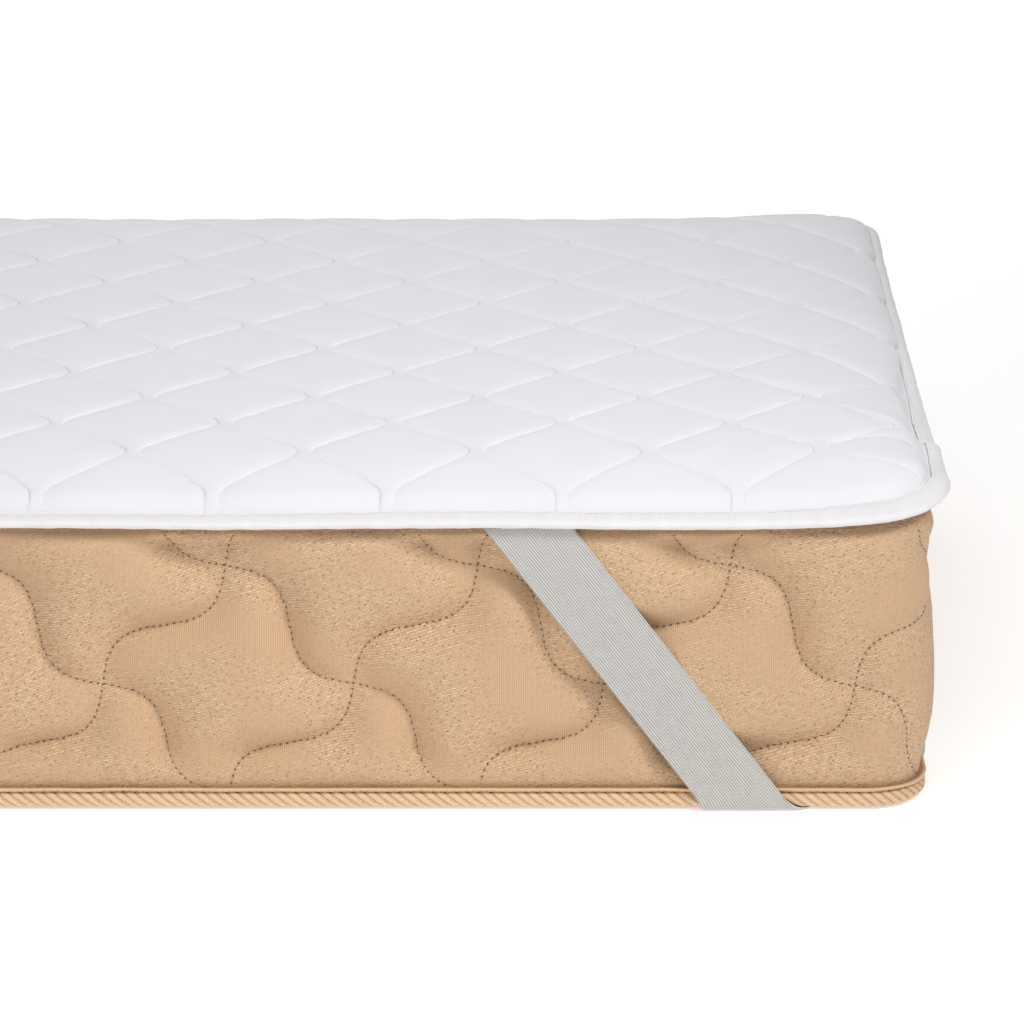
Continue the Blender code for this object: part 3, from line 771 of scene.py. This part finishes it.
ROLL_INSET, ROLL_HEIGHT = 0.0040, 0.0036  # how far the binding's sewn edge is rolled in and up
ROLL_FROM, ROLL_WIDTH = -0.0050, 0.0058  # inset from which the tape is rolled, and the width of that
ROLL_FRONT = ((0.25, 0.45), (-0.28, 0.08))  # start and run, towards the right and towards the front
ROLL_CORNER = ((0.05, 0.10), (-0.33, 0.06))  # start and run, from the corner and towards the front
ROLL_CORNER_LEAST = 0.35  # share that is left of it at the side
ROLL_SIDE_X, ROLL_SIDE_Y, ROLL_SIDE_REACH, ROLL_SIDE_SHARE = 0.9, -0.19, 0.06, 0.8

PULL, PULL_LENGTH, PULL_SKEW = 0.00025, 0.016, 10  # of its stitching, which draws the tape in
WANDER, WANDER_LENGTH = 0.0004, 0.12  # of its edge
SWELL, SWELL_LENGTH = 0.05, 0.021  # unevenness of its height


def rolled(x, y):
    """Share by which the binding is rolled outwards, so that its upper face shows broadly."""
    (start, run), (front_start, front_run) = ROLL_FRONT
    front = eased((x - start) / run) * eased((front_start - y) / front_run)
    (start, run), (front_start, front_run) = ROLL_CORNER
    corner = 1 - eased((from_loose_corner(x, y) - start) / run)
    more = eased((front_start - y) / front_run)
    corner = corner * (ROLL_CORNER_LEAST + (1 - ROLL_CORNER_LEAST) * more)
    side = np.exp(-(((y - ROLL_SIDE_Y) / ROLL_SIDE_REACH) ** 2)) * (x > ROLL_SIDE_X)
    return np.maximum((front + corner) / 2, ROLL_SIDE_SHARE * side)


def binding_ring(distance, inset, height):
    """Points of the binding at one place of its section, drawn in and out a little by its stitching."""
    roll = rolled(*round_edge(distance, 0)[:2]) * np.clip((inset - ROLL_FROM) / ROLL_WIDTH, 0, 1)
    roll = roll * (height > 0)
    inset, height = inset + ROLL_INSET * roll, height + ROLL_HEIGHT * roll
    pull = PULL * uneven(distance, PULL_SKEW * inset, PULL_LENGTH, 5)
    pull = pull + WANDER * uneven(distance, 0, WANDER_LENGTH, 6)
    x, y = round_edge(distance, inset - pull)[:2]
    swell = 1 + SWELL * uneven(distance, 0, SWELL_LENGTH, 7)
    return points_of(x, y, EDGE_MIDDLE + height * swell + rise(x, y))


def make_binding(tape, thread):
    distance = np.linspace(0, AROUND, round(AROUND / BINDING_STEP) + 1)[:-1]
    lower = [(inset, -height) for inset, height in reversed(BINDING_OUTER[:-1])]
    lining = [(inset, -height) for inset, height in BINDING_INNER[:-1]]
    section = [*BINDING_OUTER, *lower, *lining, *reversed(BINDING_INNER)]
    rings, flat, wide = [], [], 0.0
    for i, (inset, height) in enumerate(section):
        if i:
            wide += math.dist(section[i], section[i - 1])
        rings.append(binding_ring(distance, inset, height))
        flat.append(points_of(distance, wide, 0))
    patch = tube(np.stack(rings), np.stack(flat))
    binding = sew("topper_binding_tape", [patch], tape)
    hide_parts("topper_binding")
    seams = []
    for side in (1.0, -1.0):  # over and under
        path = binding_ring(distance, BINDING_SEAM_INSET, side * BINDING_SEAM_HEIGHT)
        seams.append((path, np.tile((0.0, 0.0, side), (len(path), 1))))
    sew_stitches("topper_binding_stitches", seams, BINDING_STITCH, thread)


# ---- mattress

SIDE_HEIGHTS = (REBATE_TOP, 0.0220, 0.0330, 0.0460, 0.0600, 0.1970, 0.2025, 0.2060)
SIDE_INSETS = (0.0085, 0.0064, 0.0038, 0.0016, 0.0, 0.0, 0.0015, 0.0045)
EVEN_TOP, SEAM_ROWS = 0.2040, (0.2050, 0.2055, 0.2060)  # heights of the side's points near its top
TOP_SEAM_DEPTH, TOP_SEAM_HEIGHT, TOP_SEAM_WIDTH = 0.0008, 0.2052, 0.0007


def run_of(height):
    """Where the cloth of the side at a height would lie if it weren't drawn in at its foot."""
    return height - FOOT_TUCK * eased((FOOT_TUCK_HEIGHT - height) / FOOT_TUCK_REACH)


def height_of(run):
    heights = np.linspace(0, 0.3, 601)
    return np.interp(run, run_of(heights), heights)


def quilting_lines(distance, height):
    """(falling, rising): the two families of needle lines lie where these are whole numbers."""
    a = (distance - SIDE_START) / SIDE_PITCH
    b = (SIDE_CROSSING - run_of(height)) / SIDE_DROP
    falling = (a - b) / 2 - SIDE_CURVE * np.sin(math.pi * (a + b)) / math.tau
    rising = (a + b) / 2 - SIDE_CURVE * np.sin(math.pi * (b - a)) / math.tau
    return falling, rising


def puffed(field):
    """0 on a needle line and 1 midway between two."""
    return 1 - (1 - 2 * np.abs(field - np.round(field))) ** SIDE_ROUNDNESS


def pressed(distance, height):
    """1 where a strap holds the side flat, and 0 away from it."""
    x, y = round_edge(distance, 0)[:2]
    from_corner = np.maximum(HALF_LENGTH - np.abs(x), HALF_WIDTH - np.abs(y))
    slope = (STRAP_TOP_DISTANCE - STRAP_FOOT_DISTANCE) / STRAP_TOP
    off = np.abs(from_corner - STRAP_FOOT_DISTANCE - slope * height)
    return 1 - eased((off - STRAP_WIDTH / 2 * math.hypot(1, slope)) / PRESSED_REACH)


def side_inset(distance, height):
    """How far in the quilted side lies, at a distance round the edge and a height."""
    falling, rising = quilting_lines(distance, height)
    hollow = 1 - puffed(falling) * puffed(rising)
    band = eased((height - SIDE_LOW) / SIDE_LOW_FADE) * eased((SIDE_HIGH - height) / SIDE_HIGH_FADE)
    soft = SIDE_UNEVEN * uneven(distance, height, SIDE_UNEVEN_SIZE, 11)
    x, y = round_edge(distance, 0)[:2]
    from_corner = np.hypot(HALF_LENGTH - np.abs(x), HALF_WIDTH - np.abs(y))
    depth = SIDE_DEPTH * (1 - CORNER_FIRMNESS * np.exp(-((from_corner / CORNER_REACH) ** 2)))
    swell = depth * hollow - SIDE_BULGE * depth / SIDE_DEPTH + soft
    swell = np.maximum(swell, -SIDE_BULGE * (1 - pressed(distance, height)))
    return np.interp(height, SIDE_HEIGHTS, SIDE_INSETS) + swell * band


def crown_height(inset):
    return CROWN_TOP - CROWN_FALL * fall(inset)


def under_groove(x, y):
    """Depth of the hollows that the straps press into the underside's corners."""
    middle = STRAP_UNDER_DISTANCE + FOLD_RADIUS - GAP
    off = np.abs((HALF_LENGTH - np.abs(x)) + (HALF_WIDTH - np.abs(y)) - middle) / math.sqrt(2)
    return GROOVE_DEPTH * (1 - eased((off - STRAP_WIDTH / 2 - GROOVE_MARGIN) / GROOVE_SHOULDER))


def side_grid():
    """(distances round the edge, heights, insets) of the side's points."""
    distance = np.linspace(0, AROUND, round(AROUND / SIDE_STEP) + 1)
    even = np.linspace(REBATE_TOP, EVEN_TOP, round((EVEN_TOP - REBATE_TOP) / SIDE_STEP))
    columns, rows = np.meshgrid(distance, [*even, *SEAM_ROWS])
    seam = TOP_SEAM_DEPTH * np.exp(-(((rows - TOP_SEAM_HEIGHT) / TOP_SEAM_WIDTH) ** 2))
    return columns, rows, side_inset(columns, rows) + seam


def make_mattress(ticking):
    columns, rows, insets = side_grid()
    distance = columns[0]
    side = ring(columns, insets, rows)
    above = [ring(distance, inset, crown_height(inset)) for inset in (TOP_FACE_INSET, *BORDER_INSETS)]
    top = np.concatenate([side[-1:], np.stack(above)])
    middle = np.arange(len(distance) - 1)[None, :]
    foot = ((REBATE_WALL, 0.0), (REBATE_WALL, REBATE_TOP), (FOOT_INSET, REBATE_TOP))
    foot = np.stack([ring(distance, inset, height) for inset, height in foot])
    patches = [
        (side, points_of(columns, rows, 0)),
        (top, top * (1, 1, 0)),
        (above[-1][:-1], above[-1][:-1] * (1, 1, 0), middle),
        (foot, foot * (1, 1, 0)),
    ]
    cover = sew("mattress_cover", patches, ticking, weld=False)
    lines = np.full((len(cover.data.vertices), 3), 0.5)
    lines[: side.size // 3] = points_of(*quilting_lines(columns, rows), 0).reshape(-1, 3)
    keep_places(cover.data, "needle_lines", lines)
    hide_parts("mattress")


def closer_at_ends(half, between):
    """Places from -half to half, close together near both ends, with this many between those."""
    near = np.arange(0, GROOVED_REACH, GROOVED_STEP)
    middle = np.linspace(GROOVED_REACH - half, half - GROOVED_REACH, between)
    return np.concatenate([near - half, middle, half - near[::-1]])


def make_underside(ticking):
    x = closer_at_ends(HALF_LENGTH - REBATE_WALL, 30)
    y = closer_at_ends(HALF_WIDTH - REBATE_WALL, 12)
    x, y = rounded(*np.meshgrid(x, y))
    under = points_of(x, y, under_groove(x, y))
    panel = sew("mattress_underside", [(under, under * (1, 1, 0))], ticking, weld=False)
    panel.data.flip_normals()
    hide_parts("mattress")


def lying_inset(distance, height):
    """The inset of the side's face between its points."""
    columns, rows, insets = side_grid()
    across = distance / columns[0, 1]
    column = np.clip(across.astype(int), 0, columns.shape[1] - 2)
    row = np.clip(np.searchsorted(rows[:, 0], height) - 1, 0, len(rows) - 2)
    across = across - column
    up = (height - rows[row, 0]) / (rows[row + 1, 0] - rows[row, 0])
    lower = insets[row, column] * (1 - across) + insets[row, column + 1] * across
    upper = insets[row + 1, column] * (1 - across) + insets[row + 1, column + 1] * across
    return lower * (1 - up) + upper * up


def make_side_stitches(thread):
    clear_height, clear_end, fewest = 0.001, 0.002, 20  # fewest: points of a line that is sewn
    pieces = []
    t = np.linspace(-0.6, 2.4, 900)  # along a line, counted in repeats
    curl = SIDE_CURVE * np.sin(math.tau * t) / math.tau
    for number in range(-9, 25):  # enough lines to go all round
        for a, b in ((2 * number + t + curl, t - curl), (2 * number - t + curl, t + curl)):
            distance = SIDE_START + SIDE_PITCH * a
            height = height_of(SIDE_CROSSING - SIDE_DROP * b)
            sewn = (height > SIDE_LOW + clear_height) & (height < SIDE_HIGH - clear_height)
            sewn &= (distance > clear_end) & (distance < AROUND - clear_end)
            if sewn.sum() >= fewest:
                pieces.append((distance[sewn], height[sewn]))
    every = [np.concatenate(values) for values in zip(*pieces)]
    x, y, out_x, out_y = round_edge(every[0], lying_inset(*every) - STITCH_LIFT)
    ends = np.cumsum([len(distance) for distance, _ in pieces])[:-1]
    paths = np.split(points_of(x, y, every[1]), ends)
    outs = np.split(points_of(out_x, out_y, 0), ends)
    sew_stitches("mattress_stitches", zip(paths, outs), MATTRESS_STITCH, thread)


# ---- corded tape


def make_corded_tape(cord):
    ridges = round(AROUND / CORD_PITCH)
    distance = np.linspace(0, AROUND, ridges * CORD_POINTS + 1)[:-1]
    turn = np.linspace(0, math.tau, CORD_SIDES + 1)[:-1]
    distances, turns = np.meshgrid(distance, turn)
    strand = distances * ridges / AROUND + CORD_LEAN * np.sin(turns)
    across = 2 * (strand - np.floor(strand)) - 1
    worn = 1 + CORD_WEAR * uneven(distances, 0, CORD_WEAR_SIZE, 22)
    hollow = 1 - np.sqrt(1 - np.abs(across) ** CORD_ROUNDNESS)
    radius = CORD_RADIUS - CORD_GROOVE * worn * hollow
    rings = ring(distances, TAPE_INSET - radius * np.cos(turns), TAPE_MIDDLE + radius * np.sin(turns))
    patch = tube(rings, points_of(distances, CORD_RADIUS * turns, strand))
    tape = sew("mattress_corded_tape", [patch], cord)
    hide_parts("mattress_tape")


FLANGE_SECTION = (  # inset, height
    (0.0085, 0.0142),
    (0.0054, 0.0139),
    (0.0036, 0.0146),
    (0.0034, 0.0153),
    (0.0027, 0.0158),
    (0.0025, 0.0164),
    (0.0030, 0.0170),
    (0.0042, 0.0172),
    (0.0050, 0.0160),
    (0.0058, 0.0147),
    (0.0085, 0.0144),
)
FLANGE_SEAM = FLANGE_SECTION[3]
FLANGE_STEP, FLANGE_POINT_STEP = 0.006, 0.0018  # of its points, round the edge and across it
FLANGE_WAVE, FLANGE_WAVE_LENGTH = 0.0002, 0.03
# the flange's colour is taken near a strand's edge, so it is mostly the cord's painted shade
FLANGE_STRAND = 0.12  # the place in a strand of the cord that gives the flange its colour


def make_flange(cord, thread):
    """The cord's woven edge, sewn flat on the foot of the side."""
    distance = np.linspace(0, AROUND, round(AROUND / FLANGE_STEP) + 1)[:-1]
    wave = FLANGE_WAVE * uneven(distance, 0, FLANGE_WAVE_LENGTH, 21)
    rings = np.stack([ring(distance, inset, height + wave) for inset, height in FLANGE_SECTION])
    wide = FLANGE_POINT_STEP * np.arange(len(FLANGE_SECTION))[:, None]
    patch = tube(rings, points_of(distance[None, :], wide, FLANGE_STRAND))
    flange = sew("mattress_tape_flange", [patch], cord)
    out_x, out_y = round_edge(distance, 0)[2:]
    seam = (ring(distance, *FLANGE_SEAM), points_of(out_x, out_y, 0))
    sew_stitches("mattress_tape_stitches", [seam], TAPE_STITCH, thread)


# ---- straps

SIDE_STATIONS, FOLD_STATIONS, UNDER_STATIONS = 25, 9, 13  # places along a strap, in its three parts
INNER_POINTS = 31  # across its smooth face


def strap_stations():
    """(inset, height, distance from the corner, lean, half width) along half a strap."""
    slope = (STRAP_TOP_DISTANCE - STRAP_FOOT_DISTANCE) / STRAP_TOP
    on_side = STRAP_WIDTH / 2 * math.hypot(1, slope)
    below = STRAP_WIDTH / 2 * math.sqrt(2)
    fold_height = STRAP_THICKNESS + GAP + FOLD_RADIUS
    stations = []
    for share in np.linspace(0, 1, SIDE_STATIONS):
        height = STRAP_TOP + (fold_height - STRAP_TOP) * share
        distance = STRAP_TOP_DISTANCE + (STRAP_FOOT_DISTANCE - STRAP_TOP_DISTANCE) * share
        stations.append((-GAP, height, distance, 0.0, on_side))
    for share in np.linspace(0, 1, FOLD_STATIONS)[1:]:
        lean = math.pi / 2 * share
        distance = STRAP_FOOT_DISTANCE + (STRAP_UNDER_DISTANCE - STRAP_FOOT_DISTANCE) * share
        inset = FOLD_RADIUS * (1 - math.cos(lean)) - GAP
        height = fold_height - FOLD_RADIUS * math.sin(lean)
        stations.append((inset, height, distance, lean, on_side + (below - on_side) * share))
    return np.array(stations)


def rib_profile(across):
    """Thickness of the elastic across its width: ribs, flatter near one edge."""
    ribs = np.abs(np.sin(math.pi * RIBS * (across + 1) / 2)) ** RIB_ROUNDNESS
    calm = CALM_SHARE + (1 - CALM_SHARE) * eased((across - CALM_START) / CALM_RUN)
    calm = np.where(across < CALM_EDGE, 1.0, calm)
    edge = eased((1 - np.abs(across)) / THIN_WIDTH)
    base = (STRAP_THICKNESS - RIB_HEIGHT) * (1 - THIN_SHARE + THIN_SHARE * edge)
    return base + RIB_HEIGHT * ribs * calm * edge


def make_strap(name, signs, elastic):
    """One strap from its top on one side, round the foot and under the corner, to the other side."""
    stations = strap_stations()
    inset, height, distance, lean, half = (stations[:, i, None] for i in range(5))
    outer = np.linspace(-1, 1, RIBS * RIB_POINTS + 1)[None, :]
    inner = np.linspace(1, -1, INNER_POINTS)[None, :]
    halves = []
    for across, thick in ((outer, rib_profile(outer)), (inner, np.zeros_like(inner))):
        a = distance + across * half
        b = inset - thick * np.cos(lean)
        z = height - thick * np.sin(lean)
        halves.append(points_of(a, b, z))
    half_strap = np.concatenate(halves, axis=1)
    other = half_strap[::-1, :, [1, 0, 2]]
    under = np.linspace(0, 1, UNDER_STATIONS)[1:-1, None, None]
    between = half_strap[-1] + (other[0] - half_strap[-1]) * under
    strap = np.concatenate([half_strap, between, other])
    sign_x, sign_y = signs
    x = sign_x * (HALF_LENGTH - strap[:, :, 0])
    y = sign_y * (HALF_WIDTH - strap[:, :, 1])
    grid = looped(points_of(x, y, strap[:, :, 2]), axis=1)
    middle = grid[:, outer.shape[1] // 2]
    run = np.concatenate([[0], np.cumsum(np.linalg.norm(np.diff(middle, axis=0), axis=1))])
    width = np.concatenate([outer[0], inner[0], outer[0, :1]]) * STRAP_WIDTH / 2
    cloth = points_of(width[None, :], run[:, None], 0)
    piece = sew(f"elastic_{name}", [(grid, cloth)], elastic)
    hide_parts(f"strap_{name}")


# ---- studio


def make_studio():
    scene = bpy.context.scene
    mesh = bpy.data.meshes.new("floor")
    reach = 30.0
    corners = [(-reach, -reach, 0), (reach, -reach, 0), (reach, reach, 0), (-reach, reach, 0)]
    mesh.from_pydata(corners, [], [(0, 1, 2, 3)])
    floor = bpy.data.objects.new("floor", mesh)
    scene.collection.objects.link(floor)
    paper = {
        "Base Color": linear("#F8F8F8"),
        "Roughness": 0.9,
        "Specular IOR Level": 0.1,
        "Emission Color": (1, 1, 1, 1),
        "Emission Strength": 0.38,
    }
    mesh.materials.append(new_material("matt_white_paper", paper))

    world = bpy.data.worlds.new("studio")  # bright walls and ceiling, with a dark screen at the right
    world.use_nodes = True
    tree = world.node_tree
    direction = add(tree, "TexCoord", {})["Generated"]
    rightwards = add(tree, "SeparateXYZ", {0: direction})["X"]
    share = add(tree, "MapRange", {"Value": rightwards, "From Min": 0.50, "From Max": -0.80})["Result"]
    walls = {0: share, 6: (0.12, 0.12, 0.125, 1), 7: (0.98, 0.97, 1.0, 1)}
    walls = add(tree, "Mix", walls, data_type="RGBA")[2]
    background = tree.nodes["Background"]
    tree.links.new(walls, background.inputs["Color"])
    background.inputs["Strength"].default_value = 0.55
    scene.world = world
    scene.view_settings.view_transform = "Standard"

    # the key light is behind a diffuser, so it fades softly towards the edge of its cone
    spot = {"spot_size": math.radians(49), "spot_blend": 1.0, "shadow_soft_size": 0.4}
    add_light("key_spotlight", "SPOT", (2.33, -1.78, 2.21), (0.13, -0.22, 0.15), 192.0, spot)
    for name, place, aim, size, power in (
        ("front_softbox", (0.45, -1.90, 2.10), (0.45, -0.20, 0.15), 1.4, 19.0),
        ("background_softbox", (0.60, 2.90, 2.20), (0.60, 2.60, 0.00), 2.6, 45.0),
    ):
        add_light(name, "AREA", place, aim, power, {"shape": "SQUARE", "size": size})


def add_light(name, kind, place, aim, power, settings):
    """Adds a lamp, turned to what it is aimed at."""
    light = bpy.data.lights.new(name, kind)
    light.energy = power
    for setting, value in settings.items():
        setattr(light, setting, value)
    lamp = bpy.data.objects.new(name, light)
    lamp.location = place
    lamp.rotation_euler = (Vector(aim) - Vector(place)).to_track_quat("-Z", "Y").to_euler()
    bpy.context.scene.collection.objects.link(lamp)


def make_camera():
    """A long lens that looks a little down on the right end of the front."""
    lens = bpy.data.cameras.new("camera")
    lens.sensor_width = 36.0
    lens.lens = 155.2
    lens.shift_x = -0.045
    camera = bpy.data.objects.new("camera", lens)
    camera.location = (0.68797, -3.26486, 1.13884)
    camera.rotation_euler = (math.radians(90 - 17.777), 0, 0)
    bpy.context.scene.collection.objects.link(camera)
    bpy.context.scene.camera = camera


make_camera()
make_studio()
cotton, tape, elastic = quilted_cotton(), binding_tape(), ribbed_elastic()
ticking, cord = tan_ticking(), corded_tape()
white_thread = sewing_thread("white_thread", "#F7F6F6", "#DDDCDE")
brown_thread = sewing_thread("brown_thread", "#8C6542", "#6F4C31")
tan_thread = sewing_thread("tan_thread", "#C9A47B", "#A07A52")

make_quilt(cotton)
make_quilting_stitches(white_thread)
make_binding(tape, white_thread)
make_mattress(ticking)
make_underside(ticking)
make_side_stitches(brown_thread)
make_corded_tape(cord)
make_flange(cord, tan_thread)
for corner, signs in CORNERS.items():
    make_strap(corner, signs, elastic)
